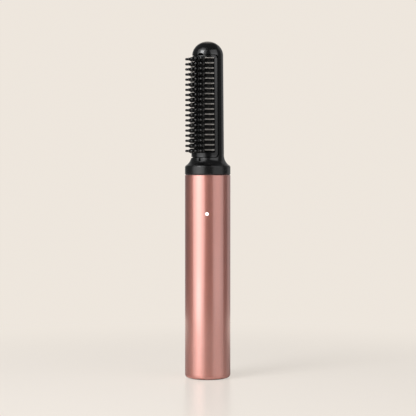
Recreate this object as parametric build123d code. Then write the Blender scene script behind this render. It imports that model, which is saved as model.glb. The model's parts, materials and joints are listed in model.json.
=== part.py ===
"""Cordless hot comb: metal handle, black collar and head, comb insert with cool tips.

Millimetres and degrees. The origin is on the handle's axis at the surface that the comb
stands on, +Z is up and the teeth point towards -Y. The board, the button and the charging
socket lie in the handle's own frame, which is turned about Z by lamp_angle: in it the lamp
looks along -Y and the button along +Y.
"""

from build123d import *
from math import asin, cos, degrees, radians, sin, sqrt
import os

# ---------------------------------------------------------------- handle
handle_radius = 15.0
tube_wall = 1.2
tube_length = 131.25
tube_top_chamfer = 0.3
tube_bottom_chamfer = 0.15
slide_gap = 0.1             # radial, between the tube and what plugs into it

foot_proud = 0.4            # the pad lifts the cap off the table
cap_rim = 2.2               # visible height of the cap
cap_edge_radius = 2.0
cap_plate = 3.2
cap_skirt_length = 4.4
cap_skirt_wall = 1.5
cap_boss_height = 1.4
cap_boss_radius = 1.95
pad_thickness = 0.9
pad_inner_radius = 7.5
pad_border = 2.8            # from the pad's outer edge to the side of the handle
pad_gap = 0.1

# ---------------------------------------------------------------- collar
gasket_thickness = 0.3
gasket_width = 0.8
collar_inset = 0.02         # the collar is this much slimmer than the handle
collar_height = 5.55
collar_edge_radius = 0.5
collar_wall = 1.5
collar_skirt_length = 4.5   # how far the collar plugs into the tube
neck_groove = 0.15          # fine dark line between collar and neck
land_inset = 0.8
web_thickness = 2.5
wire_hole_radius = 4.2

# ---------------------------------------------------------------- head
rim_inset = 0.25
rim_height = 0.1
flare_radius = 7.8
head_bottom_radius = 10.75
head_top_radius = 10.2
cone_length = 65.5
dome_height = 9.3
head_wall = 1.5
neck_bore_radius = 8.3
neck_ring_height = 4.7

# ---------------------------------------------------------------- comb insert
window_sill = 1.6           # the window starts this far below the top of the flare
window_drop = 0.05          # and ends this far below the top of the cone
window_edge = 0.4           # it stops this far in front of the head's middle plane
window_corner_radius = 2.0
parting_gap = 0.45
groove_width = 0.15         # step on each side of the parting
groove_depth = 0.3
frame_wall = 1.4
frame_bottom_strip = 2.55
frame_top_strip = 1.0
lip_overlap = 0.3           # the insert's lips reach this far behind the shell
lip_thickness = 0.5
lip_depth = 0.8             # below the head's surface
lip_gap = 0.1
rebate_height = 0.75        # the rebate that takes a lip is open to the inside
rebate_depth = 2.2
lip_edge = 3.0              # the lips stop this far in front of the head's middle plane
lip_side = 1.0              # and this far to the left of the insert's middle
aperture_angle = 73.3       # half-angle of the opening that the fins fill
aperture_corner_radius = 1.1
notch_radius = 2.3
notch_drop = 1.1
notch_angle = 20.0
pocket_radius = 1.7         # finger recess under the window
pocket_drop = 1.2
pocket_floor = 9.6          # from the head's axis
pocket_angle = 24.0

fin_count = 19
fin_margin = 1.285          # from the opening's ends to the outermost rows of teeth
fin_thickness = 0.75
fin_rise = 0.55             # each fin lies this far above the middle of its teeth
fin_edge_radius = 0.15
fin_recess = 0.15           # fins stay this far inside the head's surface
fin_end_gap = 0.35          # between a fin's ends and the frame
fin_seat = 0.05
prong_radius = 0.45
prong_root = 1.5            # a prong starts this deep inside its fin
prong_reach = 13.3          # from the head's axis
tooth_columns = {           # angle, reach from the head's axis, sides with a neighbour
    "left_outer_tips": (-29.0, 15.25, (False, True)),
    "left_inner_tips": (-13.6, 14.95, (True, True)),
    "middle_tips": (0.0, 14.95, (True, True)),
    "right_inner_tips": (13.6, 14.95, (True, True)),
    "right_outer_tips": (29.0, 15.25, (True, False)),
}
tip_neck_radius = 0.62
tip_root_radius = 1.6
tip_root_gap = 0.05         # the wide root stands just clear of the head's surface
tip_root_rise = 0.75
tip_side = 1.2              # flat side of a root, next to its neighbour
tip_nose_radius = 0.8
tip_slim_rise = 2.7
tip_bends = ((1.55, 1.4), (0.85, 1.7))  # radius, and rise above the head's surface
socket_gap = 0.03
tip_seat = 0.03

# ---------------------------------------------------------------- heater
block_radius = 7.2
block_face = -1.2           # flat back of the block
block_margin = 0.3
boss_width = 5.6
boss_height = 4.5
film_thickness = 0.2
film_width = 8.0
film_margin = 0.6
electrode_thickness = 0.3
electrode_width = 7.2
electrode_tail_width = 1.2
electrode_tail_inset = 3.2
electrode_tail_length = 4.5
chip_count = 3
chip_width = 6.8
chip_thickness = 2.0
chip_gap = 0.8
clamp_thickness = 0.6
clamp_width = 8.8
clamp_end_gap = 0.2
carrier_gap = 0.1
carrier_wall = 1.0
carrier_front = 2.4         # the side walls reach this far in front of the middle plane
carrier_bottom_wall = 1.9
carrier_top_wall = 1.5
ledge_inner = 6.3
ledge_back = 0.4
bridge_thickness = 1.6
bridge_height = 4.2
stem_outer_radius = 8.0
stem_inner_radius = 6.2
stem_boss_radius = 1.6
stem_screw_circle = 6.4
lug_height = 4.0
lug_depth = 0.8
lug_gap = 0.1
lug_spread = 24.0
tongue_width = 5.0
tongue_front = 8.0
tongue_back = 7.2
tongue_length = 1.95
thermistor_radius = 0.8
thermistor_length = 3.5

# ---------------------------------------------------------------- wiring
heater_wire_radius = 0.75
sensor_wire_radius = 0.22
battery_wire_radius = 0.8
usb_wire_radius = 0.55
solder_gap = 0.05
wire_bend = 0.9
fuse_radius = 1.2
fuse_length = 5.5
grommet_flange = 0.5
grommet_lip = 0.7
grommet_wires = {           # places in the grommet, in the handle's frame
    "heater": ((2.2, 0.0), (-2.2, 0.0)),
    "sensor": ((0.78, -2.19), (-0.78, -2.19)),
}
heater_pad_x = 4.8
sensor_pad_x = 1.2
pad_depth = 2.4             # how far the soldered ends reach down the board
usb_lead_x = 3.0
usb_lead_front_x = 4.2

# ---------------------------------------------------------------- inside the handle
lamp_angle = 45.0           # lamp, measured about Z from the teeth
chassis_gap = 0.3
chassis_wall = 2.65
chassis_foot_rise = 8.6     # from the underside of the cap
chassis_disc = 2.0
chassis_flange = 3.0
flange_bore = 6.2
cell_length = 70.15
cell_gap = 0.25
cell_seat_rise = 11.0       # from the chassis disc to the cell's lower wall
cell_top_wall = 1.5
cell_pad_border = 1.6
lower_pad_thickness = 1.65
upper_pad_thickness = 0.7
strip_thickness = 0.2
strip_width = 2.6
strip_offset = 1.6          # the two strips leave the cell on opposite sides
strip_back = 5.0
strip_front_gap = 0.9       # from the strips to the outside of the chassis

board_side_gap = 1.3        # from the board's edges to the outside of the chassis
board_height = 25.6
board_thickness = 1.2
board_rise = 0.2            # above the cell's upper wall
part_spacing = 2.0          # between the lamp or the switch and the parts above them
chip_size = (7.0, 0.9, 7.0)
transistor_size = (4.0, 1.1, 6.0)
inductor_size = (7.0, 3.0, 7.0)
charging_chip_size = (3.2, 0.8, 3.2)
lamp_chip_size = (2.0, 0.9, 2.0)
screw_wall = 2.4            # depth of the pilot holes behind a board
battery_pad_x = 5.0
usb_pad_x = 8.6
rail_side_gap = 0.6
rail_width = 3.1
rail_depth = 2.6
lamp_height = 108.5
lens_radius = 1.08
lens_hole_gap = 0.05
lens_flange_radius = 2.1
lens_flange_thickness = 0.6
shroud_radius = 2.5
shroud_wall = 0.9
shroud_gap = 0.3
button_radius = 4.0
button_recess = 0.08
button_travel = 0.4
button_flange = 0.6
button_flange_thickness = 1.2
button_gap = 0.15
bezel_radius = 4.7
bezel_gap = 0.1
bezel_ledge = 0.85
stem_radius = 1.5
switch_width = 6.0
switch_height = 3.5
plunger_radius = 1.7
plunger_proud = 1.5
plunger_depth = 0.4
plunger_gap = 0.05

# ---------------------------------------------------------------- charging socket
usb_width = 8.94
usb_height = 3.26
usb_skin = 0.3
usb_length = 7.3
usb_recess = 0.3            # the mouth lies this far inside the cap
usb_slot_gap = 0.13
usb_board_width = 16.0
usb_board_thickness = 1.0
usb_board_rise = 19.6       # from the underside of the cap to the board's top
usb_slot_front = 2.4        # the socket's room in the chassis's foot
usb_gasket_thickness = 0.6
usb_gasket_width = 1.2

# ---------------------------------------------------------------- screws
thread_gap = 0.05
hole_gap = 0.15
large_screw = {"head": 1.8, "tall": 1.3, "shank": 0.95, "length": 6.0}
medium_screw = {"head": 1.4, "tall": 1.0, "shank": 0.7, "length": 5.0}
small_screw = {"head": 1.25, "tall": 0.8, "shank": 0.6, "length": 3.2}
base_screw_inset = 3.5      # from the side of what plugs into the tube
collar_screw_inset = 5.1
collar_screw_angles = (60, 180, 300)
collar_boss_radius = 2.2
head_screw_circle = 9.9
head_screw_angles = (0, 120, 240)
head_screw_bite = 2.8       # length of thread in the head's plastic
board_screw_gap = 2.5       # to the outside of the chassis

# ---------------------------------------------------------------- heights and depths that follow
tube_bore = handle_radius - tube_wall
plug_radius = tube_bore - slide_gap
collar_radius = handle_radius - collar_inset
land_radius = handle_radius - land_inset
rim_radius = handle_radius - rim_inset
pad_outer_radius = handle_radius - pad_border
cap_top = foot_proud + cap_rim
plate_top = foot_proud + cap_plate
chassis_boss_bottom = plate_top + cap_boss_height
chassis_foot = foot_proud + chassis_foot_rise
cap_skirt_top = cap_top + cap_skirt_length
tube_top = cap_top + tube_length
collar_bottom = tube_top + gasket_thickness
collar_top = collar_bottom + collar_height
neck_bottom = collar_top + neck_groove
web_bottom = neck_bottom - web_thickness - neck_groove
skirt_bottom = collar_bottom - collar_skirt_length

flare_centre = head_bottom_radius + flare_radius
rim_top = neck_bottom + rim_height
cone_bottom = rim_top + sqrt(flare_radius**2 - (flare_centre - rim_radius) ** 2)
cone_top = cone_bottom + cone_length
head_middle_radius = (head_bottom_radius + head_top_radius) / 2
neck_ring_top = neck_bottom + neck_ring_height

window_bottom = cone_bottom - window_sill
window_top = cone_top - window_drop
aperture_bottom = window_bottom + parting_gap + frame_bottom_strip
aperture_top = window_top - parting_gap - frame_top_strip
aperture_edge = head_middle_radius * cos(radians(aperture_angle))
comb_middle = (aperture_bottom + aperture_top) / 2 + 0.15
fin_pitch = (aperture_top - aperture_bottom - 2 * fin_margin) / (fin_count - 1)
tooth_heights = [comb_middle + (i - (fin_count - 1) / 2) * fin_pitch for i in range(fin_count)]

block_bottom = aperture_bottom - block_margin
block_top = aperture_top + block_margin
front_electrode_y = block_face + film_thickness
chip_y = front_electrode_y + electrode_thickness
rear_electrode_y = chip_y + chip_thickness
rear_film_y = rear_electrode_y + electrode_thickness
clamp_y = rear_film_y + film_thickness
bridge_y = clamp_y + clamp_thickness
film_bottom = block_bottom + boss_height + film_margin
film_top = block_top - boss_height - film_margin
stack_bottom = film_bottom + film_margin
stack_top = film_top - film_margin
carrier_bore = block_radius + carrier_gap
carrier_radius = carrier_bore + carrier_wall
carrier_bottom = block_bottom - carrier_bottom_wall
carrier_top = block_top + carrier_top_wall
heater_screw_heights = (block_bottom + boss_height / 2, block_top - boss_height / 2)
lug_heights = [comb_middle + step * lug_spread for step in (-1, 0, 1)]
lug_x = carrier_bore + 0.4

chassis_radius = tube_bore - chassis_gap
chassis_bore = chassis_radius - chassis_wall
cell_radius = chassis_bore - cell_gap
cell_pad_radius = cell_radius - cell_pad_border
seat_front = cell_radius    # cell walls stop here so that wires pass in front
strip_front = chassis_radius - strip_front_gap
board_width = 2 * (chassis_radius - board_side_gap)
rail_outer = chassis_radius - rail_side_gap
rail_inner = rail_outer - rail_width
board_screw_x = chassis_radius - board_screw_gap
base_screw_circle = plug_radius - base_screw_inset
collar_screw_circle = plug_radius - collar_screw_inset
chassis_foot_top = chassis_foot + chassis_disc
chassis_top = skirt_bottom
flange_bottom = chassis_top - chassis_flange
seat_bottom = chassis_foot_top + cell_seat_rise
seat_top = seat_bottom + chassis_disc
lower_strip = seat_top + lower_pad_thickness
cell_bottom = lower_strip + strip_thickness
cell_top = cell_bottom + cell_length
upper_strip_top = cell_top + strip_thickness
cell_wall_bottom = upper_strip_top + upper_pad_thickness
cell_wall_top = cell_wall_bottom + cell_top_wall
board_bottom = cell_wall_top + board_rise
board_top = board_bottom + board_height
board_face = board_thickness / 2
board_screw_heights = (lamp_height - 2.5, board_top - 3.2)
switch_top = board_face + switch_height
plunger_top = switch_top + plunger_proud
flange_y = chassis_bore - solder_gap
ledge_y = chassis_bore + bezel_ledge

usb_mouth = foot_proud + usb_recess
usb_board_y = usb_height / 2
usb_board_back = usb_board_y + usb_board_thickness
usb_board_bottom = plate_top + usb_gasket_thickness
usb_board_top = foot_proud + usb_board_rise
wire_front = chassis_bore + 0.9


# ---------------------------------------------------------------- small helpers
def rod(radius, start, end, x=0.0, y=0.0):
    """Cylinder along Z between two heights."""
    stand = (Align.CENTER, Align.CENTER, Align.MIN)
    return Pos(x, y, start) * Cylinder(radius, end - start, align=stand)


def ring(outer, inner, start, end):
    """Plain tube along Z between two heights."""
    return rod(outer, start, end) - rod(inner, start, end)


def block(x, y, z):
    """Box from three (low, high) pairs."""
    middle = [(low + high) / 2 for low, high in (x, y, z)]
    size = [high - low for low, high in (x, y, z)]
    return Pos(*middle) * Box(*size)


def rod_y(radius, start, end, x=0.0, z=0.0):
    """Cylinder along Y between two depths."""
    return Pos(x, 0, z) * Rot(-90, 0, 0) * rod(radius, start, end)


def around(shape, angle):
    """The shape turned about the comb's axis; the teeth's side is angle 0."""
    return Rot(0, 0, angle) * shape


def on_circle(radius, angle):
    """Point on a circle about the axis, its angle counted from +X."""
    return radius * cos(radians(angle)), radius * sin(radians(angle))


def in_handle(shape):
    """The shape carried from the handle's own frame into the comb's."""
    return Rot(0, 0, lamp_angle) * shape


def handle_point(x, y, z):
    """A point carried from the handle's own frame into the comb's."""
    turn = radians(lamp_angle)
    return x * cos(turn) - y * sin(turn), x * sin(turn) + y * cos(turn), z


def revolved(edges):
    """Solid of revolution about Z from a closed half section, its seam at the back."""
    return Rot(0, 0, 90) * revolve(Plane.XZ * make_face(edges), Axis.Z)


def group(shapes):
    """Several separate solids as one node."""
    return Compound([solid for shape in shapes for solid in shape.solids()])


def top_edges(shape):
    return shape.edges().group_by(Axis.Z)[-1]


def bottom_edges(shape):
    return shape.edges().group_by(Axis.Z)[0]


def screw(size):
    """Pan-head screw with a cross recess: the seat is at z = 0 and the shank points down."""
    head = rod(size["head"], 0, size["tall"])
    head = fillet(top_edges(head), size["tall"] * 0.35)
    arm = size["head"] * 0.55
    slot = size["head"] * 0.14
    cross_depth = (size["tall"] * 0.4, size["tall"] + 1)
    head -= block((-arm, arm), (-slot, slot), cross_depth)
    head -= block((-slot, slot), (-arm, arm), cross_depth)
    shank = rod(size["shank"], -size["length"], 0)
    return head + chamfer(bottom_edges(shank), size["shank"] * 0.4)


def screw_up(size, x, y, z):
    """Screw that is driven upwards, its seat at height z."""
    return Pos(x, y, z) * Rot(180, 0, 0) * screw(size)


def screw_forward(size, x, y, z):
    """Screw that is driven towards -Y, its seat at depth y."""
    return Pos(x, y, z) * Rot(-90, 0, 0) * screw(size)


def screw_backward(size, x, y, z):
    """Screw that is driven towards +Y, its seat at depth y."""
    return Pos(x, y, z) * Rot(90, 0, 0) * screw(size)


def pilot(size):
    return size["shank"] + thread_gap


def clearance(size):
    return size["shank"] + hole_gap


def wire(points, radius, bend=None):
    """Round wire along straight runs joined by tangent arcs."""
    path = FilletPolyline(*points, radius=bend or max(wire_bend, 1.3 * radius))
    start = Plane(origin=path @ 0, z_dir=path % 0)
    return sweep(start * Circle(radius), path=path)


def head_radius(z):
    """Outer radius of the head's cone at a height."""
    share = (z - cone_bottom) / cone_length
    return head_bottom_radius + (head_top_radius - head_bottom_radius) * share


# ---------------------------------------------------------------- head and comb insert
def nose_curve(radius, height):
    """Quarter of an ellipse over the top of the cone, as one smooth curve."""
    pull = 0.5523
    return Bezier(
        (radius, cone_top),
        (radius, cone_top + pull * height),
        (pull * radius, cone_top + height),
        (0, cone_top + height),
    )


def head_outside():
    """Full solid of the head: rim, flare, cone and round nose."""
    flare_sweep = degrees(asin((cone_bottom - rim_top) / flare_radius))
    section = [
        Line((0, neck_bottom), (rim_radius, neck_bottom)),
        Line((rim_radius, neck_bottom), (rim_radius, rim_top)),
        CenterArc((flare_centre, cone_bottom), flare_radius, 180, flare_sweep),
        Line((head_bottom_radius, cone_bottom), (head_top_radius, cone_top)),
        nose_curve(head_top_radius, dome_height),
        Line((0, cone_top + dome_height), (0, neck_bottom)),
    ]
    return revolved(section)


def head_inside(wall):
    """The cone and the nose drawn in by a wall, with the neck's bore below them."""
    low = head_radius(neck_ring_top) - wall
    high = head_top_radius - wall
    section = [
        Line((0, neck_bottom), (neck_bore_radius, neck_bottom)),
        Line((neck_bore_radius, neck_bottom), (neck_bore_radius, neck_ring_top)),
        Line((neck_bore_radius, neck_ring_top), (low, neck_ring_top)),
        Line((low, neck_ring_top), (high, cone_top)),
        nose_curve(high, dome_height - wall),
        Line((0, cone_top + dome_height - wall), (0, neck_bottom)),
    ]
    return revolved(section)


def front_opening(edge, bottom, top, corner):
    """Everything in front of the plane y = -edge between two heights, with round corners."""
    far = 2 * handle_radius
    cut = block((-far, far), (-far, -edge), (bottom, top))
    corners = cut.edges().filter_by(Axis.X).group_by(Axis.Y)[-1]
    return fillet(corners, corner)


def head_skin():
    """Outermost layer of the head, as deep as the step beside the parting."""
    return head_outside() - head_inside(groove_depth)


def lip_ring(near, far, thickness, gap=0.0):
    """Left front part of a thin ring behind the head's surface, between two heights."""
    low, high = sorted((near, far))
    radius = head_radius((low + high) / 2) - lip_depth + gap
    front = block((-radius, gap - lip_side), (-radius, gap - lip_edge), (low, high))
    return ring(radius, radius - thickness, low, high) & front


def head_shell():
    shell = head_outside() - head_inside(head_wall)
    shell -= front_opening(window_edge, window_bottom, window_top, window_corner_radius)
    step = groove_width
    wide = front_opening(
        window_edge - step, window_bottom - step, window_top + step, window_corner_radius + step
    )
    shell -= head_skin() & wide
    shell -= lip_ring(window_bottom, window_bottom - rebate_height, rebate_depth, lip_gap)
    shell -= lip_ring(window_top, window_top + rebate_height, rebate_depth, lip_gap)
    notch = rod_y(notch_radius, -handle_radius, -stem_inner_radius, z=window_top - notch_drop)
    pocket = rod_y(pocket_radius, -handle_radius, -pocket_floor, z=window_bottom - pocket_drop)
    shell -= around(notch, notch_angle)
    shell -= around(pocket, pocket_angle)
    for angle in head_screw_angles:
        x, y = on_circle(head_screw_circle, angle)
        shell -= rod(pilot(small_screw), neck_bottom, neck_bottom + head_screw_bite + 0.4, x, y)
    return shell


def comb_frame():
    edge = window_edge + parting_gap
    low = window_bottom + parting_gap
    high = window_top - parting_gap
    frame = head_outside() - head_inside(frame_wall)
    frame &= front_opening(edge, low, high, window_corner_radius)
    step = groove_width
    frame -= head_skin() - front_opening(edge + step, low + step, high - step, window_corner_radius)
    frame -= front_opening(aperture_edge, aperture_bottom, aperture_top, aperture_corner_radius)
    frame += lip_ring(low + 0.6, window_bottom - lip_overlap, lip_thickness)
    frame += lip_ring(high - 0.5, window_top + lip_overlap, lip_thickness)

    # lugs that snap into the carrier's side walls
    lug_y = (-carrier_front + 2 * lug_gap + lug_depth, -carrier_front + 2 * lug_gap)
    for z in lug_heights:
        lug_x_out = head_radius(z) - frame_wall + 0.4
        for low_x, high_x in ((lug_x, lug_x_out), (-lug_x_out, -lug_x)):
            frame += block((low_x, high_x), sorted(lug_y), (z - lug_height / 2, z + lug_height / 2))

    # tongue that hooks behind the shell above the window
    half = tongue_width / 2
    step = aperture_top + 0.15
    root = -head_radius(window_top) + frame_wall - 0.4
    frame += block((-half, half), (root, -tongue_back), (step, high))
    frame += block((-half, half), (-tongue_front, -tongue_back), (high, high + tongue_length))
    return frame


def comb_fin(z):
    """One arc-shaped fin with its prongs."""
    low = z + fin_rise - fin_thickness / 2
    high = low + fin_thickness
    radius = head_radius(z) - fin_recess
    disc = fillet(rod(radius, low, high).edges(), fin_edge_radius)
    disc -= rod(block_radius + fin_seat, low, high)
    fin = disc & block((-radius, radius), (-radius, -aperture_edge - fin_end_gap), (low, high))
    for angle, _, _ in tooth_columns.values():
        fin += around(rod_y(prong_radius, -prong_reach, -radius + prong_root, z=z), angle)
    return fin


def comb_fins():
    return group([comb_fin(z) for z in tooth_heights])


def cool_tip(z, reach, neighbours):
    """One tip over its prong, pointing along -Y: a wide root, a slim body and a round nose."""
    surface = head_radius(z)
    foot = surface - fin_recess + tip_seat
    root = surface + tip_root_gap
    brim = surface + tip_root_rise
    slim = surface + tip_slim_rise
    nose = reach - tip_nose_radius
    bends = [(radius, surface + rise) for radius, rise in tip_bends]
    section = [
        Line((0, foot), (tip_neck_radius, foot)),
        Line((tip_neck_radius, foot), (tip_neck_radius, root)),
        Line((tip_neck_radius, root), (tip_root_radius, root)),
        Line((tip_root_radius, root), (tip_root_radius, brim)),
        Bezier((tip_root_radius, brim), *bends, (tip_nose_radius, slim)),
        Line((tip_nose_radius, slim), (tip_nose_radius, nose)),
        CenterArc((0, nose), tip_nose_radius, 0, 90),
        Line((0, reach), (0, foot)),
    ]
    tip = revolved(section) - rod(prong_radius + socket_gap, foot, prong_reach + 2 * socket_gap)
    tip = Pos(0, 0, z) * Rot(90, 0, 0) * tip
    left, right = (tip_side if near else 2 * tip_root_radius for near in neighbours)
    return tip & block((-left, right), (-reach, 0), (z - tip_root_radius, z + tip_root_radius))


def tip_column(angle, reach, neighbours):
    return group([around(cool_tip(z, reach, neighbours), angle) for z in tooth_heights])


# ---------------------------------------------------------------- heater
def heater_block():
    body = rod(block_radius, block_bottom, block_top)
    body -= block((-block_radius, block_radius), (block_face, block_radius), (block_bottom, block_top))
    half = boss_width / 2
    for z in heater_screw_heights:
        body += block((-half, half), (block_face, clamp_y), (z - boss_height / 2, z + boss_height / 2))
        depth = bridge_y + bridge_thickness - medium_screw["length"] - 0.5
        body -= rod_y(pilot(medium_screw), depth, clamp_y, z=z)
    return body


def insulation(y):
    half = film_width / 2
    return block((-half, half), (y, y + film_thickness), (film_bottom, film_top))


def electrode(y, side):
    """Contact strip with its solder tail on one side of the lower boss."""
    half = electrode_width / 2
    depth = (y, y + electrode_thickness)
    near = side * electrode_tail_inset
    far = side * (electrode_tail_inset + electrode_tail_width)
    tail_low = stack_bottom - electrode_tail_length
    strip = block((-half, half), depth, (stack_bottom, stack_top))
    return strip + block(sorted((near, far)), depth, (tail_low, stack_bottom + electrode_tail_width))


def ptc_chips():
    half = chip_width / 2
    pitch = (stack_top - stack_bottom + chip_gap) / chip_count
    chips = []
    for i in range(chip_count):
        low = stack_bottom + i * pitch
        chips.append(block((-half, half), (chip_y, rear_electrode_y), (low, low + pitch - chip_gap)))
    return group(chips)


def clamp_plate():
    half = clamp_width / 2
    heights = (block_bottom + clamp_end_gap, block_top - clamp_end_gap)
    plate = block((-half, half), (clamp_y, bridge_y), heights)
    for z in heater_screw_heights:
        plate -= rod_y(clearance(medium_screw), clamp_y, bridge_y, z=z)
    return plate


def heater_carrier():
    carrier = ring(carrier_radius, carrier_bore, carrier_bottom, carrier_top)
    far = 2 * carrier_radius
    carrier -= block((-far, far), (-far, -carrier_front), (carrier_bottom, carrier_top))
    carrier += rod(carrier_radius, carrier_bottom, block_bottom)
    top_wall = rod(carrier_radius, block_top, carrier_top)
    tongue_room = tongue_back - 3 * lug_gap
    carrier += top_wall - block((-far, far), (-far, -tongue_room), (block_top, carrier_top))

    inside = rod(carrier_bore + carrier_wall / 2, block_bottom, block_top)
    ledge_z = (block_bottom, block_top)
    for side in (-1, 1):
        ledge_x = sorted((side * ledge_inner, side * carrier_radius))
        carrier += block(ledge_x, (block_face, ledge_back), ledge_z) & inside
    for z in heater_screw_heights:
        bridge_z = (z - bridge_height / 2, z + bridge_height / 2)
        bridge = block((-far, far), (bridge_y, bridge_y + bridge_thickness), bridge_z)
        carrier += bridge & inside
        carrier -= rod_y(clearance(medium_screw), clamp_y, bridge_y + bridge_thickness, z=z)
        driver_room = medium_screw["head"] + 2 * hole_gap
        carrier -= rod_y(driver_room, bridge_y + bridge_thickness, far, z=z)
    for z in lug_heights:
        pocket_y = (-carrier_front + lug_gap, -carrier_front + 3 * lug_gap + lug_depth)
        pocket_z = (z - lug_height / 2 - lug_gap, z + lug_height / 2 + lug_gap)
        for side in (-1, 1):
            pocket_x = sorted((side * carrier_bore, side * far))
            carrier -= block(pocket_x, pocket_y, pocket_z)

    carrier += ring(stem_outer_radius, stem_inner_radius, neck_bottom, carrier_bottom)
    stem_round = rod(stem_outer_radius, neck_bottom, carrier_bottom)
    for side in (-1, 1):
        y = side * stem_screw_circle
        carrier += rod(stem_boss_radius, neck_bottom, carrier_bottom, 0, y) & stem_round
        carrier -= rod(pilot(small_screw), neck_bottom, neck_bottom + head_screw_bite + 0.4, 0, y)
    for x, y, radius in feed_holes():
        carrier -= rod(radius, carrier_bottom, block_bottom, x, y)
    return carrier


def feed_holes():
    """Places and radii of the wire holes in the carrier's bottom wall."""
    (x1, y1), (x2, y2) = heater_wire_tops()
    x3, y3 = thermistor_place()
    hole = heater_wire_radius + hole_gap
    return [(x1, y1, hole), (x2, y2, hole), (x3, y3, thermistor_radius)]


def heater_wire_tops():
    """Where the two heater wires meet the tails of their electrodes."""
    x = electrode_tail_inset + electrode_tail_width / 2 + 0.2
    front = chip_y + solder_gap + heater_wire_radius
    rear = rear_electrode_y - solder_gap - heater_wire_radius
    return (x, front), (-x, rear)


def thermistor_place():
    return ledge_inner - thermistor_radius - 0.2, block_face + thermistor_radius + 0.02


def thermistor():
    x, y = thermistor_place()
    low = film_bottom + 3.0
    bead = rod(thermistor_radius, low, low + thermistor_length, x, y)
    return fillet(bead.edges(), thermistor_radius * 0.6)


def heater_screws():
    seat = bridge_y + bridge_thickness
    return group([screw_forward(medium_screw, 0, seat, z) for z in heater_screw_heights])


def carrier_screws():
    size = dict(small_screw, length=neck_bottom - web_bottom + head_screw_bite)
    places = (-stem_screw_circle, stem_screw_circle)
    return group([screw_up(size, 0, y, web_bottom) for y in places])


# ---------------------------------------------------------------- wires from the head to the board
def heater_leads():
    """Two heater wires; the one on the -X side is cut for the thermal fuse."""
    tail_low = stack_bottom - electrode_tail_length
    leave = carrier_bottom - 0.3
    arrive = leave - 1.9
    depth = -board_face - solder_gap - heater_wire_radius
    fuse_top, fuse_bottom = fuse_span()
    parts = []
    for side, top, hole in zip((1, -1), heater_wire_tops(), grommet_wires["heater"]):
        hole_x, hole_y, _ = handle_point(*hole, 0)
        upper = [
            (*top, tail_low + 1.4),
            (*top, leave),
            (hole_x, hole_y, arrive),
            (hole_x, hole_y, fuse_top),
        ]
        lower = [
            (hole_x, hole_y, fuse_bottom),
            (hole_x, hole_y, chassis_top - 0.4),
            handle_point(side * heater_pad_x, depth, board_top + 1.2),
            handle_point(side * heater_pad_x, depth, board_top - pad_depth),
        ]
        if side > 0:
            parts.append(wire(upper[:-1] + lower[1:], heater_wire_radius))
        else:
            parts.append(wire(upper, heater_wire_radius))
            parts.append(wire(lower, heater_wire_radius))
    return group(parts)


def fuse_span():
    """Top and bottom of the thermal fuse, below the grommet."""
    top = web_bottom - grommet_lip - 1.2
    return top, top - fuse_length


def thermal_fuse():
    x, y, _ = handle_point(*grommet_wires["heater"][1], 0)
    top, bottom = fuse_span()
    body = rod(fuse_radius, bottom, top, x, y)
    return fillet(body.edges(), fuse_radius * 0.25)


def sensor_leads():
    x, y = thermistor_place()
    spread = sensor_wire_radius + 0.055
    leave = carrier_bottom - 2.1
    arrive = leave - 2.3
    depth = -board_face - solder_gap - sensor_wire_radius
    parts = []
    for side, hole in zip((1, -1), grommet_wires["sensor"]):
        hole_x, hole_y, _ = handle_point(*hole, 0)
        points = [
            (x, y + side * spread, film_bottom + 3.0),
            (x, y + side * spread, leave),
            (hole_x, hole_y, arrive),
            (hole_x, hole_y, chassis_top - 0.4),
            handle_point(side * sensor_pad_x, depth, board_top + 1.2),
            handle_point(side * sensor_pad_x, depth, board_top - pad_depth),
        ]
        parts.append(wire(points, sensor_wire_radius, 0.8))
    return group(parts)


def neck_grommet():
    """Soft plug that closes the collar's web round the wires."""
    outer = wire_hole_radius - solder_gap
    lip = wire_hole_radius + grommet_flange
    plug = rod(outer, web_bottom - grommet_lip, neck_bottom + grommet_lip)
    plug += rod(lip, web_bottom - grommet_lip, web_bottom)
    plug += rod(lip, neck_bottom, neck_bottom + grommet_lip)
    radii = {"heater": heater_wire_radius, "sensor": sensor_wire_radius}
    low, high = web_bottom - grommet_lip, neck_bottom + grommet_lip
    for name, holes in grommet_wires.items():
        for hole in holes:
            x, y, _ = handle_point(*hole, 0)
            plug -= rod(radii[name] + solder_gap, low, high, x, y)
    return plug


# ---------------------------------------------------------------- collar
def collar_ring():
    body = rod(collar_radius, collar_bottom, collar_top)
    body = fillet(body.edges(), collar_edge_radius)
    body += rod(land_radius, collar_top, neck_bottom)
    body += rod(plug_radius, skirt_bottom, collar_bottom)
    body -= rod(plug_radius - collar_wall, skirt_bottom, web_bottom)
    for angle in collar_screw_angles:
        x, y = on_circle(collar_screw_circle, angle)
        body += rod(collar_boss_radius, skirt_bottom, web_bottom, x, y)
        body -= rod(pilot(large_screw), skirt_bottom, skirt_bottom + large_screw["length"], x, y)
    for angle in head_screw_angles:
        x, y = on_circle(head_screw_circle, angle)
        body -= rod(clearance(small_screw), web_bottom, neck_bottom, x, y)
    for y in (-stem_screw_circle, stem_screw_circle):
        body -= rod(clearance(small_screw), web_bottom, neck_bottom, 0, y)
    return body - rod(wire_hole_radius, web_bottom, neck_bottom)


def collar_gasket():
    inner = plug_radius + slide_gap / 2
    return ring(inner + gasket_width, inner, tube_top, collar_bottom)


def head_screws():
    size = dict(small_screw, length=neck_bottom - web_bottom + head_screw_bite)
    places = [on_circle(head_screw_circle, angle) for angle in head_screw_angles]
    return group([screw_up(size, x, y, web_bottom) for x, y in places])


def collar_screws():
    size = dict(large_screw, length=large_screw["length"] + chassis_flange - 0.6)
    places = [on_circle(collar_screw_circle, angle) for angle in collar_screw_angles]
    return group([screw_up(size, x, y, flange_bottom) for x, y in places])


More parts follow.
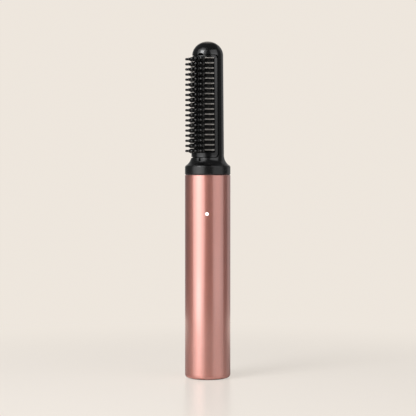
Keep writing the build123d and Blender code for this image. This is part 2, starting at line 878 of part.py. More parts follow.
# ---------------------------------------------------------------- outside of the handle
def handle_tube():
    tube = rod(handle_radius, cap_top, tube_top)
    tube = chamfer(top_edges(tube), tube_top_chamfer)
    tube = chamfer(bottom_edges(tube), tube_bottom_chamfer)
    tube -= rod(tube_bore, cap_top, tube_top)
    lens_hole = rod_y(lens_radius + lens_hole_gap, -2 * handle_radius, 0, z=lamp_height)
    button_hole = rod_y(bezel_radius + bezel_gap, 0, 2 * handle_radius, z=lamp_height)
    return tube - in_handle(lens_hole) - in_handle(button_hole)


def base_cap():
    cap = rod(handle_radius, foot_proud, cap_top)
    cap = fillet(bottom_edges(cap), cap_edge_radius)
    cap += rod(plug_radius, cap_top, cap_skirt_top)
    cap -= rod(plug_radius - cap_skirt_wall, plate_top, cap_skirt_top)
    head_room = large_screw["head"] + hole_gap
    for x in (-base_screw_circle, base_screw_circle):
        boss_top = plate_top + cap_boss_height
        cap += rod(cap_boss_radius, plate_top, boss_top, x)
        cap -= rod(head_room, foot_proud, pad_thickness + large_screw["tall"], x)
        cap -= rod(clearance(large_screw), foot_proud, boss_top, x)
    cap -= ring(pad_outer_radius + pad_gap, pad_inner_radius - pad_gap, foot_proud, pad_thickness)
    slot = SlotOverall(usb_width + 2 * usb_slot_gap, usb_height + 2 * usb_slot_gap)
    cap -= Pos(0, 0, foot_proud) * extrude(slot, cap_plate)
    return in_handle(cap)


def foot_pad():
    pad = ring(pad_outer_radius, pad_inner_radius, 0, pad_thickness)
    return in_handle(fillet(bottom_edges(pad), 0.2))


def base_screws():
    seat = pad_thickness + large_screw["tall"]
    places = (-base_screw_circle, base_screw_circle)
    return in_handle(group([screw_up(large_screw, x, 0, seat) for x in places]))


# ---------------------------------------------------------------- chassis and battery
def chassis_room(low, high):
    """Space in front of the chassis's back wall between two heights."""
    far = 2 * handle_radius
    return rod(chassis_bore, low, high) + block((-far, far), (-far, usb_board_back), (low, high))


def chassis():
    """One moulding: foot disc, back wall round the cell, board rails and top flange."""
    far = 2 * handle_radius
    frame = rod(chassis_radius, chassis_foot, chassis_top)

    # room for the charging board, with the wall that it is screwed to
    half = usb_board_width / 2 + 2 * hole_gap
    wall_y = (usb_board_back, usb_board_back + screw_wall)
    frame -= chassis_room(chassis_foot_top, seat_bottom) - block(
        (-half, half), wall_y, (chassis_foot_top, seat_bottom)
    )
    frame -= block((-half, half), (-usb_slot_front, usb_board_back), (chassis_foot, chassis_foot_top))

    # room for the cell
    frame -= chassis_room(seat_top, cell_wall_bottom)
    frame -= block((-far, far), (-far, -seat_front), (seat_bottom, cell_wall_top))

    # room for the main board, with its two rails
    room = chassis_room(cell_wall_top, flange_bottom)
    for side in (-1, 1):
        rail_x = sorted((side * rail_inner, side * rail_outer))
        room -= block(rail_x, (board_face, board_face + rail_depth), (cell_wall_top, board_top))
    frame -= room
    frame -= rod(flange_bore, flange_bottom, chassis_top)

    for side in (-1, 1):
        x = side * base_screw_circle
        frame += rod(cap_boss_radius, chassis_boss_bottom, chassis_foot + chassis_disc / 2, x)
        frame -= rod(pilot(large_screw), chassis_boss_bottom, chassis_foot_top - 0.6, x)
        for z in board_screw_heights:
            frame -= rod_y(pilot(small_screw), board_face, board_face + screw_wall, side * board_screw_x, z)
    for x, z in usb_screw_places():
        frame -= rod_y(pilot(small_screw), usb_board_back, usb_board_back + 2.1, x, z)
    for angle in collar_screw_angles:
        x, y = on_circle(collar_screw_circle, angle - lamp_angle)
        frame -= rod(clearance(large_screw), flange_bottom, chassis_top, x, y)

    # stepped hole for the button and its bezel
    frame -= rod_y(button_radius + 2 * button_gap, 0, far, z=lamp_height)
    frame -= rod_y(button_radius + button_flange + 0.4, 0, chassis_bore, z=lamp_height)
    frame -= rod_y(bezel_radius + 2 * bezel_gap, ledge_y, far, z=lamp_height)
    return in_handle(frame)


def battery_cell():
    cell = fillet(rod(cell_radius, cell_bottom, cell_top).edges(), 0.6)
    crimp = cell_top - 3.0
    return in_handle(cell - ring(cell_radius, cell_radius - 0.4, crimp, crimp + 0.8))


def battery_tabs():
    half = strip_width / 2
    strips = []
    for x, low in ((-strip_offset, lower_strip), (strip_offset, cell_top)):
        height = (low, low + strip_thickness)
        strips.append(block((x - half, x + half), (-strip_front, strip_back), height))
    return in_handle(group(strips))


def battery_pads():
    lower = rod(cell_pad_radius, seat_top, lower_strip)
    upper = rod(cell_pad_radius, upper_strip_top, cell_wall_bottom)
    return in_handle(group([lower, upper]))


def battery_leads():
    front = -chassis_bore - battery_wire_radius - 0.1
    depth = -board_face - solder_gap - battery_wire_radius
    parts = []
    for side, start in ((-1, cell_bottom + solder_gap), (1, upper_strip_top + solder_gap)):
        points = [
            (side * strip_offset, front, start),
            (side * strip_offset, front, cell_wall_top + 2 * battery_wire_radius),
            (side * battery_pad_x, depth, board_bottom + 3.8),
            (side * battery_pad_x, depth, board_bottom + 6.2),
        ]
        parts.append(wire(points, battery_wire_radius))
    return in_handle(group(parts))


# ---------------------------------------------------------------- main board
def main_board():
    half = board_width / 2
    board = block((-half, half), (-board_face, board_face), (board_bottom, board_top))
    for x in (-board_screw_x, board_screw_x):
        for z in board_screw_heights:
            board -= rod_y(clearance(small_screw), -board_face, board_face, x, z)
    return in_handle(board)


def board_screws():
    size = dict(small_screw, length=board_thickness + 2.0)
    screws = []
    for x in (-board_screw_x, board_screw_x):
        for z in board_screw_heights:
            screws.append(screw_backward(size, x, -board_face, z))
    return in_handle(group(screws))


def board_part(size, x, low, side):
    """Box on the board's front (side -1) or back (side 1), its foot at a height."""
    width, depth, height = size
    y = sorted((side * board_face, side * (board_face + depth)))
    return block((x - width / 2, x + width / 2), y, (low, low + height))


def controller_chip():
    low = lamp_height + shroud_radius + part_spacing + 0.5
    return in_handle(board_part(chip_size, 0, low, -1))


def power_transistors():
    low = lamp_height + shroud_radius + 0.5 * part_spacing
    x = chip_size[0] / 2 + part_spacing + transistor_size[0] / 2
    return in_handle(group([board_part(transistor_size, side * x, low, -1) for side in (-1, 1)]))


def power_inductor():
    coil = board_part(inductor_size, 0, lamp_height + switch_width / 2 + 1.5 * part_spacing, 1)
    return in_handle(fillet(coil.edges().filter_by(Axis.Y), 1.2))


# ---------------------------------------------------------------- lamp
def led_chip():
    return in_handle(board_part(lamp_chip_size, 0, lamp_height - lamp_chip_size[2] / 2, -1))


def lens_flange_face():
    """Depth at which the lens's flat flange meets the round bore of the tube."""
    return sqrt(tube_bore**2 - lens_flange_radius**2)


def led_lens():
    face = lens_flange_face()
    back = face - lens_flange_thickness
    lens = rod_y(lens_flange_radius, -face + 0.02, -back, z=lamp_height)
    lens += rod_y(lens_radius, -2 * handle_radius, -back, z=lamp_height)
    return in_handle(lens & rod(handle_radius, 0, tube_top))


def led_shroud():
    """Black sleeve that keeps the lamp's light out of the handle."""
    outer_end = lens_flange_face() - lens_flange_thickness - shroud_gap
    sleeve = rod_y(shroud_radius, -outer_end, -board_face, z=lamp_height)
    return in_handle(sleeve - rod_y(shroud_radius - shroud_wall, -outer_end, -board_face, z=lamp_height))


# ---------------------------------------------------------------- button
def power_button():
    """Round cap that follows the handle's curve, its snap flange and its stem."""
    cap = rod_y(button_radius, flange_y, 2 * handle_radius, z=lamp_height)
    cap &= rod(handle_radius - button_recess, 0, tube_top)
    rim = cap.edges().filter_by(GeomType.CIRCLE, reverse=True).sort_by(Axis.Y)[-1]
    cap = fillet(rim, 0.35)
    flange_back = flange_y - button_flange_thickness
    cap += rod_y(button_radius + button_flange, flange_back, flange_y, z=lamp_height)
    cap += rod_y(stem_radius, plunger_top + plunger_gap, flange_back, z=lamp_height)
    return in_handle(cap)


def button_bezel():
    bezel = rod_y(bezel_radius, ledge_y, 2 * handle_radius, z=lamp_height)
    bezel -= rod_y(button_radius + button_gap, ledge_y, 2 * handle_radius, z=lamp_height)
    return in_handle(bezel & rod(handle_radius, 0, tube_top))


def switch_body():
    half = switch_width / 2
    heights = (lamp_height - half, lamp_height + half)
    body = block((-half, half), (board_face, switch_top), heights)
    floor = switch_top - plunger_depth - button_travel - 0.1
    return in_handle(body - rod_y(plunger_radius + plunger_gap, floor, switch_top, z=lamp_height))


def switch_plunger():
    plunger = rod_y(plunger_radius, switch_top - plunger_depth, plunger_top, z=lamp_height)
    return in_handle(plunger)


# ---------------------------------------------------------------- charging socket
def slot_body(width, height, low, high):
    return Pos(0, 0, low) * extrude(SlotOverall(width, height), high - low)


def usb_socket():
    inner_width = usb_width - 2 * usb_skin
    inner_height = usb_height - 2 * usb_skin
    top = usb_mouth + usb_length
    shell = slot_body(usb_width, usb_height, usb_mouth, top)
    return in_handle(shell - slot_body(inner_width, inner_height, usb_mouth, top - usb_skin))


def usb_tongue():
    gap = usb_skin + 0.05
    back = usb_mouth + usb_length - gap
    root = slot_body(usb_width - 2 * gap, usb_height - 2 * gap, back - 1.2, back)
    blade = block((-3.35, 3.35), (-0.35, 0.35), (usb_mouth + 0.9, back))
    return in_handle(root + blade)


def usb_screw_places():
    return [(x, usb_board_top - 3.5) for x in (-6.0, 6.0)]


def usb_board():
    half = usb_board_width / 2
    board = block((-half, half), (usb_board_y, usb_board_back), (usb_board_bottom, usb_board_top))
    for x, z in usb_screw_places():
        board -= rod_y(clearance(small_screw), usb_board_y, usb_board_back, x, z)
    return in_handle(board)


def usb_screws():
    size = dict(small_screw, length=usb_board_thickness + 1.8)
    return in_handle(group([screw_backward(size, x, usb_board_y, z) for x, z in usb_screw_places()]))


def usb_gasket():
    wide = usb_width + 2 * usb_gasket_width
    tall = usb_height + 2 * usb_gasket_width
    ring_body = slot_body(wide, tall, plate_top, usb_board_bottom)
    hole = slot_body(usb_width + 0.1, usb_height + 0.1, plate_top, usb_board_bottom)
    return in_handle(ring_body - hole)


def charging_chip():
    width, depth, height = charging_chip_size
    low = usb_mouth + usb_length + part_spacing + 1.5
    return in_handle(block((-width / 2, width / 2), (usb_board_y - depth, usb_board_y), (low, low + height)))


def usb_leads():
    start_y = usb_board_y - solder_gap - usb_wire_radius
    front = -wire_front
    depth = -board_face - solder_gap - usb_wire_radius
    parts = []
    for side in (-1, 1):
        points = [
            (side * usb_lead_x, start_y, usb_board_top - pad_depth),
            (side * usb_lead_x, start_y, usb_board_top + 0.4),
            (side * usb_lead_front_x, front, usb_board_top + 0.4),
            (side * usb_lead_front_x, front, cell_wall_top + 2 * usb_wire_radius),
            (side * usb_pad_x, depth, board_bottom + 3.4),
            (side * usb_pad_x, depth, board_bottom + 5.6),
        ]
        parts.append(wire(points, usb_wire_radius))
    return in_handle(group(parts))


# ---------------------------------------------------------------- every node, then the files
nodes = {
    "head_shell": head_shell,
    "comb_frame": comb_frame,
    "comb_fins": comb_fins,
    "heater_block": heater_block,
    "front_insulation": lambda: insulation(block_face),
    "front_electrode": lambda: electrode(front_electrode_y, 1),
    "ptc_chips": ptc_chips,
    "rear_electrode": lambda: electrode(rear_electrode_y, -1),
    "rear_insulation": lambda: insulation(rear_film_y),
    "clamp_plate": clamp_plate,
    "heater_carrier": heater_carrier,
    "heater_screws": heater_screws,
    "carrier_screws": carrier_screws,
    "thermistor": thermistor,
    "thermal_fuse": thermal_fuse,
    "heater_leads": heater_leads,
    "sensor_leads": sensor_leads,
    "neck_grommet": neck_grommet,
    "head_screws": head_screws,
    "collar_ring": collar_ring,
    "collar_gasket": collar_gasket,
    "collar_screws": collar_screws,
    "handle_tube": handle_tube,
    "base_cap": base_cap,
    "foot_pad": foot_pad,
    "base_screws": base_screws,
    "chassis": chassis,
    "battery_cell": battery_cell,
    "battery_tabs": battery_tabs,
    "battery_pads": battery_pads,
    "battery_leads": battery_leads,
    "main_board": main_board,
    "board_screws": board_screws,
    "controller_chip": controller_chip,
    "power_transistors": power_transistors,
    "power_inductor": power_inductor,
    "led_chip": led_chip,
    "led_shroud": led_shroud,
    "led_lens": led_lens,
    "power_button": power_button,
    "button_bezel": button_bezel,
    "switch_body": switch_body,
    "switch_plunger": switch_plunger,
    "usb_socket": usb_socket,
    "usb_tongue": usb_tongue,
    "usb_board": usb_board,
    "usb_screws": usb_screws,
    "usb_gasket": usb_gasket,
    "charging_chip": charging_chip,
    "usb_leads": usb_leads,
}
for column, place in tooth_columns.items():
    nodes[column] = lambda place=place: tip_column(*place)

os.makedirs("parts", exist_ok=True)
for name, make in nodes.items():
    export_step(make(), f"parts/{name}.step")
    print(name)
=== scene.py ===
import bpy
import json
from math import cos, pi, radians, sin
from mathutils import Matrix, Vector


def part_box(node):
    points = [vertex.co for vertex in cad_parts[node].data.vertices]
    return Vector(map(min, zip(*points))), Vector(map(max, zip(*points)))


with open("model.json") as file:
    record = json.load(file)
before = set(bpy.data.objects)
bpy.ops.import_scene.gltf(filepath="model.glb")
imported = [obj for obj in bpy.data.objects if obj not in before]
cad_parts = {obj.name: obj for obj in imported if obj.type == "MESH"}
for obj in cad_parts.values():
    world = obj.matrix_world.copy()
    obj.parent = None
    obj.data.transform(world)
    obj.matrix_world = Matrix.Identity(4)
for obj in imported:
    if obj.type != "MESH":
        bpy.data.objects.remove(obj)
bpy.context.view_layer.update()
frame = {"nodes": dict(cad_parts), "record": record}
cadNodes = frame["nodes"]
print("frame loaded:", len(cadNodes), "nodes")


# a socket that takes part in plain expressions
class Plug:
    def __init__(self, shading, socket):
        self.shading = shading
        self.socket = socket

    def maths(self, operation, first, second):
        return self.shading.add("ShaderNodeMath", {"operation": operation}, {0: first, 1: second})

    def __add__(self, other):
        return self.maths("ADD", self, other)

    def __radd__(self, other):
        return self.maths("ADD", other, self)

    def __sub__(self, other):
        return self.maths("SUBTRACT", self, other)

    def __rsub__(self, other):
        return self.maths("SUBTRACT", other, self)

    def __mul__(self, other):
        return self.maths("MULTIPLY", self, other)

    def __rmul__(self, other):
        return self.maths("MULTIPLY", other, self)

    def __truediv__(self, other):
        return self.maths("DIVIDE", self, other)

    def __rtruediv__(self, other):
        return self.maths("DIVIDE", other, self)

    def __pow__(self, other):
        return self.maths("POWER", self, other)

    def __rpow__(self, other):
        return self.maths("POWER", other, self)

    def __getitem__(self, name):
        return Plug(self.shading, self.socket.node.outputs[name])


# the nodes of one material, or of the room
class Shading:
    def __init__(self, owner):
        owner.use_nodes = True
        self.tree = owner.node_tree
        self.tree.nodes.clear()

    def add(self, kind, settings=None, inputs=None, output=0):
        node = self.tree.nodes.new(kind)
        for key, value in (settings or {}).items():
            if key == "stops":
                self.setStops(node.color_ramp.elements, value)
            else:
                setattr(node, key, value)
        for key, value in (inputs or {}).items():
            if isinstance(value, Plug):
                self.tree.links.new(value.socket, node.inputs[key])
            else:
                node.inputs[key].default_value = value
        return Plug(self, node.outputs[output]) if len(node.outputs) else None

    def setStops(self, ramp, stops):
        while len(ramp) < len(stops):
            ramp.new(0.5)
        for stop, (position, shade) in zip(ramp, stops):
            stop.position = position
            stop.color = (shade, shade, shade, 1)


def place(shading):
    return shading.add("ShaderNodeTexCoord", output="Object")


def noise(shading, where, size, detail, rough):
    # size is the length of one blotch in metres
    values = {"Vector": where, "Scale": 1 / size, "Detail": detail, "Roughness": rough}
    return shading.add("ShaderNodeTexNoise", None, values)


def sway(value, amount):
    # noise lies round a half, so this moves a value to both sides
    return (value - 0.5) * amount


def clamp(shading, value, low, high, outLow=0.0, outHigh=1.0):
    inputs = {"Value": value, "From Min": low, "From Max": high, "To Min": outLow, "To Max": outHigh}
    return shading.add("ShaderNodeMapRange", {"interpolation_type": "SMOOTHSTEP"}, inputs)


def blend(shading, share, low, high):
    low = (*low, 1) if isinstance(low, tuple) else low
    high = (*high, 1) if isinstance(high, tuple) else high
    return shading.add("ShaderNodeMix", {"data_type": "RGBA"}, {0: share, 6: low, 7: high}, output=2)


def tinted(colour, factor):
    return tuple(min(1.0, channel * factor) for channel in colour)


def shades(shading, share, colour, darker, lighter):
    return blend(shading, share, tinted(colour, darker), tinted(colour, lighter))


def bump(shading, height, depth):
    return shading.add("ShaderNodeBump", None, {"Height": height, "Distance": depth, "Strength": 1.0})


def heightOf(shading, vector):
    return shading.add("ShaderNodeSeparateXYZ", None, {0: vector}, output="Z")


def along(shading, vector, direction):
    inputs = {0: vector, 1: direction}
    return shading.add("ShaderNodeVectorMath", {"operation": "DOT_PRODUCT"}, inputs, output="Value")


def finishOff(shading, values):
    surface = shading.add("ShaderNodeBsdfPrincipled", None, values)
    shading.add("ShaderNodeOutputMaterial", None, {"Surface": surface})


# rose metal, bead-blasted and anodised: the handle, the base cap and the button
roseMetal = {
    "colour": (0.75, 0.30, 0.24),
    "roughness": 0.42, "coatRoughness": 0.16, "coatIor": 2.4,
    "grain": {"size": 0.00042, "detail": 3.0, "rough": 0.65},
    "grainTint": 0.16, "grainGloss": 0.10, "grainDepth": 0.000012,
    "mottle": {"size": 0.011, "detail": 3.0, "rough": 0.55},
    "mottleTint": 0.05, "mottleGloss": 0.05,
}
roseButton = dict(roseMetal, roughness=0.34, grainDepth=0.000008)


def makeRoseMetal(name, facts):
    material = bpy.data.materials.new(name)
    sh = Shading(material)
    where = place(sh)
    grain = noise(sh, where, **facts["grain"])
    mottle = noise(sh, where, **facts["mottle"])
    tint = facts["grainTint"] + facts["mottleTint"]
    tone = clamp(sh, grain * facts["grainTint"] + mottle * facts["mottleTint"], 0.0, tint)
    roughness = facts["roughness"] + sway(grain, facts["grainGloss"]) + sway(mottle, facts["mottleGloss"])
    finishOff(sh, {
        "Base Color": shades(sh, tone, facts["colour"], 1 - tint / 2, 1 + tint / 2),
        "Metallic": 1.0,
        "Roughness": roughness,
        "Coat Weight": 1.0,
        "Coat Roughness": facts["coatRoughness"],
        "Coat IOR": facts["coatIor"],
        "Normal": bump(sh, grain, facts["grainDepth"]),
    })
    return material


# moulded black plastics: grain is the length of one grain, depth its height
plasticSkin = {
    "grainDetail": 2.0, "grainRough": 0.6, "grainGloss": 0.04,
    "smudge": {"size": 0.014, "detail": 3.0, "rough": 0.6},
    "smudgeTints": (0.85, 1.15), "smudgeGloss": 0.10,
}
blackPlastic = {
    "shell": {
        "colour": (0.0035, 0.0035, 0.0037),
        "roughness": 0.18, "ior": 1.56, "grain": 0.00022, "depth": 0.000001,
    },
    "collar": {
        "colour": (0.004, 0.004, 0.004),
        "roughness": 0.26, "ior": 1.60, "grain": 0.00022, "depth": 0.000001,
    },
    "tip": {
        "colour": (0.004, 0.004, 0.0042),
        "roughness": 0.11, "ior": 1.66, "grain": 0.00018, "depth": 0.000001,
    },
    "matte": {
        "colour": (0.028, 0.028, 0.028),
        "roughness": 0.52, "ior": 1.53, "grain": 0.00030, "depth": 0.000008,
    },
    "chassis": {
        "colour": (0.060, 0.060, 0.062),
        "roughness": 0.55, "ior": 1.53, "grain": 0.00040, "depth": 0.000008,
    },
    "chip": {
        "colour": (0.020, 0.020, 0.022),
        "roughness": 0.60, "ior": 1.53, "grain": 0.00015, "depth": 0.000006,
    },
    "block": {
        "colour": (0.003, 0.003, 0.003),
        "roughness": 0.68, "ior": 1.53, "grain": 0.00030, "depth": 0.000006,
    },
}


def makePlastic(name, facts):
    material = bpy.data.materials.new(name)
    sh = Shading(material)
    where = place(sh)
    skin = plasticSkin
    grain = noise(sh, where, facts["grain"], skin["grainDetail"], skin["grainRough"])
    smudge = noise(sh, where, **skin["smudge"])
    roughness = facts["roughness"] + sway(smudge, skin["smudgeGloss"]) + sway(grain, skin["grainGloss"])
    finishOff(sh, {
        "Base Color": shades(sh, smudge, facts["colour"], *skin["smudgeTints"]),
        "Roughness": roughness,
        "IOR": facts["ior"],
        "Normal": bump(sh, grain, facts["depth"]),
    })
    return material


# ceramic coat on the fins: warm grey with a fine fleck
finCoat = {
    "colour": (0.36, 0.34, 0.315), "tints": (0.78, 1.22), "toneRange": (0.3, 0.7),
    "metallic": 0.75, "roughness": 0.36, "ior": 1.6,
    "fleck": {"size": 0.00035, "detail": 3.0, "rough": 0.7},
    "fleckShare": 0.7, "fleckGloss": 0.16, "fleckDepth": 0.000004,
    "drift": {"size": 0.006, "detail": 2.0, "rough": 0.5},
    "driftShare": 0.3,
}


def makeFinCoat(name, facts):
    material = bpy.data.materials.new(name)
    sh = Shading(material)
    where = place(sh)
    fleck = noise(sh, where, **facts["fleck"])
    drift = noise(sh, where, **facts["drift"])
    tone = clamp(sh, fleck * facts["fleckShare"] + drift * facts["driftShare"], *facts["toneRange"])
    finishOff(sh, {
        "Base Color": shades(sh, tone, facts["colour"], *facts["tints"]),
        "Metallic": facts["metallic"],
        "Roughness": facts["roughness"] + sway(fleck, facts["fleckGloss"]),
        "IOR": facts["ior"],
        "Normal": bump(sh, fleck, facts["fleckDepth"]),
    })
    return material


# plain metals inside and at the socket: brush squeezes the streaks along each axis, so the smallest
# number is the way that they run
metalSkin = {
    "streakScale": 6.0, "streakDetail": 3.0, "streakTints": (0.85, 1.1),
    "streakGloss": 0.2, "streakDepth": 0.000002,
}
metals = {
    "steel": {"colour": (0.60, 0.60, 0.61), "roughness": 0.30, "brush": (900, 900, 60)},
    "brass": {"colour": (0.76, 0.58, 0.30), "roughness": 0.34, "brush": (700, 700, 90)},
    "can": {"colour": (0.08, 0.30, 0.33), "roughness": 0.38, "brush": (120, 120, 120)},
}


def makeMetal(name, facts):
    material = bpy.data.materials.new(name)
    sh = Shading(material)
    skin = metalSkin
    stretch = sh.add("ShaderNodeMapping", None, {"Vector": place(sh), "Scale": facts["brush"]})
    streak = sh.add("ShaderNodeTexNoise", None,
                    {"Vector": stretch, "Scale": skin["streakScale"], "Detail": skin["streakDetail"]})
    finishOff(sh, {
        "Base Color": shades(sh, streak, facts["colour"], *skin["streakTints"]),
        "Metallic": 1.0,
        "Roughness": facts["roughness"] + sway(streak, skin["streakGloss"]),
        "Normal": bump(sh, streak, skin["streakDepth"]),
    })
    return material


# rubber, silicone, film, ceramic, wires and boards
softSkin = {
    "grainDetail": 3.0, "grainRough": 0.6, "grainShare": 0.5, "grainGloss": 0.12,
    "drift": {"size": 0.010, "detail": 2.0, "rough": 0.5},
    "driftShare": 0.5, "tints": (0.8, 1.2),
}
softFacts = {
    "rubber": {"colour": (0.020, 0.019, 0.019), "roughness": 0.78, "grain": 0.0005, "depth": 0.00002},
    "seal": {"colour": (0.030, 0.030, 0.031), "roughness": 0.66, "grain": 0.0006, "depth": 0.00001},
    "film": {"colour": (0.62, 0.34, 0.07), "roughness": 0.32, "grain": 0.0012, "depth": 0.000004},
    "ceramic": {"colour": (0.80, 0.79, 0.76), "roughness": 0.62, "grain": 0.0004, "depth": 0.000006},
    "redWire": {"colour": (0.52, 0.03, 0.025), "roughness": 0.42, "grain": 0.0010, "depth": 0.000008},
    "whiteWire": {"colour": (0.76, 0.76, 0.73), "roughness": 0.48, "grain": 0.0008, "depth": 0.000008},
    "board": {"colour": (0.018, 0.17, 0.085), "roughness": 0.35, "grain": 0.0007, "depth": 0.000006},
}


def makeSoft(name, facts):
    material = bpy.data.materials.new(name)
    sh = Shading(material)
    where = place(sh)
    skin = softSkin
    grain = noise(sh, where, facts["grain"], skin["grainDetail"], skin["grainRough"])
    drift = noise(sh, where, **skin["drift"])
    tone = grain * skin["grainShare"] + drift * skin["driftShare"]
    finishOff(sh, {
        "Base Color": shades(sh, tone, facts["colour"], *skin["tints"]),
        "Roughness": facts["roughness"] + sway(grain, skin["grainGloss"]),
        "Normal": bump(sh, grain, facts["depth"]),
    })
    return material


# the lamp's milky light pipe, which glows white and fades towards its rim
lampGlass = {
    "colour": (0.93, 0.98, 1.0), "roughness": 0.22,
    "glow": 1.0, "centre": (0.93, 1.0, 1.0), "rim": (0.70, 0.80, 0.84),
    "fade": (0.0006, 0.0013),       # heights above and below the middle between which it fades
    "cloud": {"size": 0.0006, "detail": 2.0, "rough": 0.5},
    "cloudGloss": 0.1, "cloudSpread": 0.0003,
}


def makeLampGlass(name, facts, lens):
    material = bpy.data.materials.new(name)
    sh = Shading(material)
    where = place(sh)
    low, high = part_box(lens)
    heart = sh.add("ShaderNodeVectorMath", {"operation": "SUBTRACT"},
                   {0: where, 1: (0, 0, (low.z + high.z) / 2)})
    rise = heightOf(sh, heart)
    cloud = noise(sh, where, **facts["cloud"])
    fade = clamp(sh, (rise * rise) ** 0.5 + sway(cloud, facts["cloudSpread"]), *facts["fade"])
    finishOff(sh, {
        "Base Color": (*facts["colour"], 1),
        "Roughness": facts["roughness"] + sway(cloud, facts["cloudGloss"]),
        "Emission Color": blend(sh, fade, facts["centre"], facts["rim"]),
        "Emission Strength": facts["glow"],
    })
    return material


# every slot of the record gets its finish
finishes = {
    "rose_metal": makeRoseMetal("roseMetal", roseMetal),
    "rose_button": makeRoseMetal("roseButton", roseButton),
    "black_shell": makePlastic("blackShell", blackPlastic["shell"]),
    "black_matte": makePlastic("blackMatte", blackPlastic["matte"]),
    "cool_tip": makePlastic("coolTip", blackPlastic["tip"]),
    "chassis_plastic": makePlastic("chassisPlastic", blackPlastic["chassis"]),
    "chip_black": makePlastic("chipBlack", blackPlastic["chip"]),
    "block_metal": makePlastic("blockBlack", blackPlastic["block"]),
    "fin_metal": makeFinCoat("finCoat", finCoat),
    "bright_steel": makeMetal("brightSteel", metals["steel"]),
    "contact_brass": makeMetal("contactBrass", metals["brass"]),
    "cell_wrap": makeMetal("cellWrap", metals["can"]),
    "foot_rubber": makeSoft("footRubber", softFacts["rubber"]),
    "soft_seal": makeSoft("softSeal", softFacts["seal"]),
    "film": makeSoft("amberFilm", softFacts["film"]),
    "ceramic": makeSoft("heatCeramic", softFacts["ceramic"]),
    "red_wire": makeSoft("redWire", softFacts["redWire"]),
    "white_wire": makeSoft("whiteWire", softFacts["whiteWire"]),
    "board_green": makeSoft("boardGreen", softFacts["board"]),
    "clear_lens": makeLampGlass("lampGlass", lampGlass, "led_lens"),
}

# the collar is moulded a little duller than the head
collarBlack = makePlastic("collarBlack", blackPlastic["collar"])

for entry in frame["record"]["subparts"]:
    node = cadNodes[entry["node"]]
    finish = collarBlack if entry["node"] == "collar_ring" else finishes[entry["material_slot"]]
    node.data.materials.clear()
    node.data.materials.append(finish)
print("finishes on every node:", len(finishes))


# camera: azimuth and pitch in degrees, the rest in metres, the lens and the sensor in millimetres
cameraFacts = {
    "azimuth": 47.0, "distance": 0.953, "height": 0.1338, "pitch": 1.307, "aside": 0.0002,
    "lens": 125.14, "sensor": 36, "clip": (0.05, 50),
}
cameraTurn = radians(cameraFacts["azimuth"])
viewAhead = (-sin(cameraTurn), cos(cameraTurn), 0)      # level, from the camera past the comb


def makeCamera():
    data = bpy.data.cameras.new("camera")
    data.lens = cameraFacts["lens"]
    data.sensor_width = cameraFacts["sensor"]
    data.clip_start, data.clip_end = cameraFacts["clip"]
    camera = bpy.data.objects.new("camera", data)
    bpy.context.scene.collection.objects.link(camera)
    far, aside = cameraFacts["distance"], cameraFacts["aside"]
    camera.location = (
        sin(cameraTurn) * far + cos(cameraTurn) * aside,
        -cos(cameraTurn) * far + sin(cameraTurn) * aside,
        cameraFacts["height"],
    )
    camera.rotation_euler = (radians(90 - cameraFacts["pitch"]), 0, cameraTurn)
    bpy.context.scene.camera = camera


# paper floor and pale backdrop
backdrop = (0.855, 0.795, 0.725)
floorFacts = {
    "radius": 0.42, "sides": 96,
    "lit": (0.66, 0.61, 0.57),      # the colour that lights the comb from below
    "shown": (0.95, 0.90, 0.85),    # the colour that the camera sees
    "roughness": 0.25, "ior": 1.5,
    "fade": (0.08, 0.36),           # the lit floor turns into the backdrop between these radii
    "glow": 0.60,                   # share of the backdrop's brightness in the near floor
    "mirrored": (0.0, 0.2),         # reflections turn to the backdrop between these places behind
}


def shownTo(path, mirrorShare):
    # all of it shows to the camera, and a share of it in metal and glass
    glints = path["Is Glossy Ray"] + path["Is Transmission Ray"]
    return path["Is Camera Ray"] + glints * mirrorShare


def makeFloor():
    bpy.ops.mesh.primitive_circle_add(
        vertices=floorFacts["sides"], radius=floorFacts["radius"], fill_type="NGON")
    floor = bpy.context.object
    floor.name = "studioFloor"
    material = bpy.data.materials.new("studioPaper")
    sh = Shading(material)
    where = place(sh)
    reach = sh.add("ShaderNodeVectorMath", {"operation": "LENGTH"}, {0: where}, output="Value")
    behind = along(sh, where, viewAhead)
    path = sh.add("ShaderNodeLightPath")
    shown = shownTo(path, clamp(sh, behind, *floorFacts["mirrored"]))
    far = clamp(sh, reach, *floorFacts["fade"])
    near = (1 - far) * path["Is Camera Ray"] * floorFacts["glow"]
    tone = blend(sh, path["Is Camera Ray"], floorFacts["lit"], floorFacts["shown"])
    paper = sh.add("ShaderNodeBsdfPrincipled", None,
                   {"Base Color": tone, "Roughness": floorFacts["roughness"], "IOR": floorFacts["ior"]})
    haze = sh.add("ShaderNodeEmission", None, {"Color": (*backdrop, 1), "Strength": 1.0})
    surface = sh.add("ShaderNodeMixShader", None, {0: far * shown + near, 1: paper, 2: haze})
    sh.add("ShaderNodeOutputMaterial", None, {"Surface": surface})
    floor.data.materials.append(material)


# room round the comb: brightness of its walls and ceiling, and where each of them begins
roomFacts = {
    "front": 0.07, "side": 0.12, "back": 0.40, "ceiling": 0.10,
    "sideStops": (0.45, 0.85),          # from the camera's wall at 0 to the wall behind at 1
    "ceilingRise": (0.45, 0.75),        # rise is the sine of the elevation
    "backdropWidth": (0.96, 0.997),     # cosine of the angle from straight ahead
    "backdropTop": (0.80, 0.90),
    "poleGuard": 0.0001,                # keeps the division whole straight up and down
}


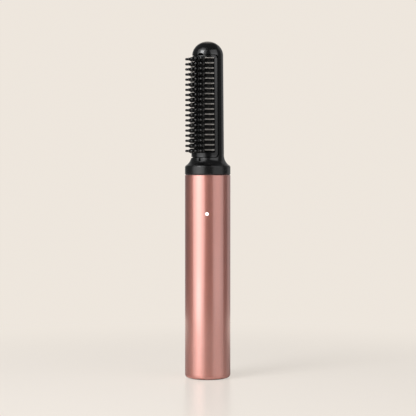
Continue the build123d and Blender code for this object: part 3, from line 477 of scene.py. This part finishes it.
def makeRoom():
    world = bpy.data.worlds.new("studioRoom")
    bpy.context.scene.world = world
    sh = Shading(world)
    look = sh.add("ShaderNodeTexCoord", output="Generated")
    rise = heightOf(sh, look)
    away = along(sh, look, viewAhead) / (1 + roomFacts["poleGuard"] - rise * rise) ** 0.5
    sideStart, sideEnd = roomFacts["sideStops"]
    walls = sh.add("ShaderNodeValToRGB", {"stops": [
        (0.0, roomFacts["front"]), (sideStart, roomFacts["side"]),
        (sideEnd, roomFacts["side"]), (1.0, roomFacts["back"]),
    ]}, {0: away * 0.5 + 0.5})
    overhead = clamp(sh, rise, *roomFacts["ceilingRise"])
    room = blend(sh, overhead, walls, (roomFacts["ceiling"],) * 3)
    mirrored = clamp(sh, away, *roomFacts["backdropWidth"])
    mirrored = mirrored * clamp(sh, rise, *roomFacts["backdropTop"], 1.0, 0.0)
    shown = shownTo(sh.add("ShaderNodeLightPath"), mirrored)
    light = sh.add("ShaderNodeBackground", None, {"Color": room, "Strength": 1.0})
    plain = sh.add("ShaderNodeBackground", None, {"Color": (*backdrop, 1), "Strength": 1.0})
    surface = sh.add("ShaderNodeMixShader", None, {0: shown, 1: light, 2: plain})
    sh.add("ShaderNodeOutputWorld", None, {"Surface": surface})


# lamps: turn is counted in degrees from the camera, to the right, and lift from the level of the aim;
# far, from the aim to the lamp's middle, and size are in metres
lampAim = Vector((0, 0, 0.11))
lamps = {
    "mainBox": {"turn": -48, "lift": 20, "far": 0.90, "size": (1.13, 1.15), "radiance": 1.22},
    "mainCore": {"turn": -45, "lift": 3, "far": 0.88, "size": (0.40, 0.50), "radiance": 0.5},
    "mainHeart": {"turn": -45, "lift": 30, "far": 0.86, "size": (0.36, 0.42), "radiance": 9.6},
    "mainTop": {"turn": -44, "lift": 55, "far": 0.86, "size": (0.42, 0.30), "radiance": 1.0},
    "mainLow": {"turn": -46, "lift": -15, "far": 0.34, "size": (0.16, 0.04), "radiance": 0.8},
    "sideBox": {"turn": 54, "lift": 4, "far": 0.95, "size": (1.01, 0.70), "radiance": 0.52},
    "sideHigh": {"turn": 50, "lift": 29, "far": 0.93, "size": (0.86, 0.64), "radiance": 1.15},
    "sideLow": {"turn": 50, "lift": -12, "far": 0.34, "size": (0.22, 0.07), "radiance": 0.15},
    "sideRim": {"turn": 130, "lift": 14, "far": 0.95, "size": (0.45, 1.10), "radiance": 0.30},
}


def makeLamp(name, facts):
    width, height = facts["size"]
    data = bpy.data.lights.new(name, "AREA")
    data.shape = "RECTANGLE"
    data.size, data.size_y = width, height
    data.energy = facts["radiance"] * pi * width * height
    lamp = bpy.data.objects.new(name, data)
    bpy.context.scene.collection.objects.link(lamp)
    turn = radians(cameraFacts["azimuth"] + facts["turn"])
    lift = radians(facts["lift"])
    out = Vector((sin(turn) * cos(lift), -cos(turn) * cos(lift), sin(lift)))
    lamp.location = lampAim + out * facts["far"]
    lamp.rotation_mode = "QUATERNION"
    lamp.rotation_quaternion = out.to_track_quat("Z", "Y")
    lamp.visible_camera = False


makeFloor()
makeRoom()
for lampName, lampPlace in lamps.items():
    makeLamp(lampName, lampPlace)
makeCamera()
bpy.context.scene.view_settings.view_transform = "Standard"
print("studio ready")
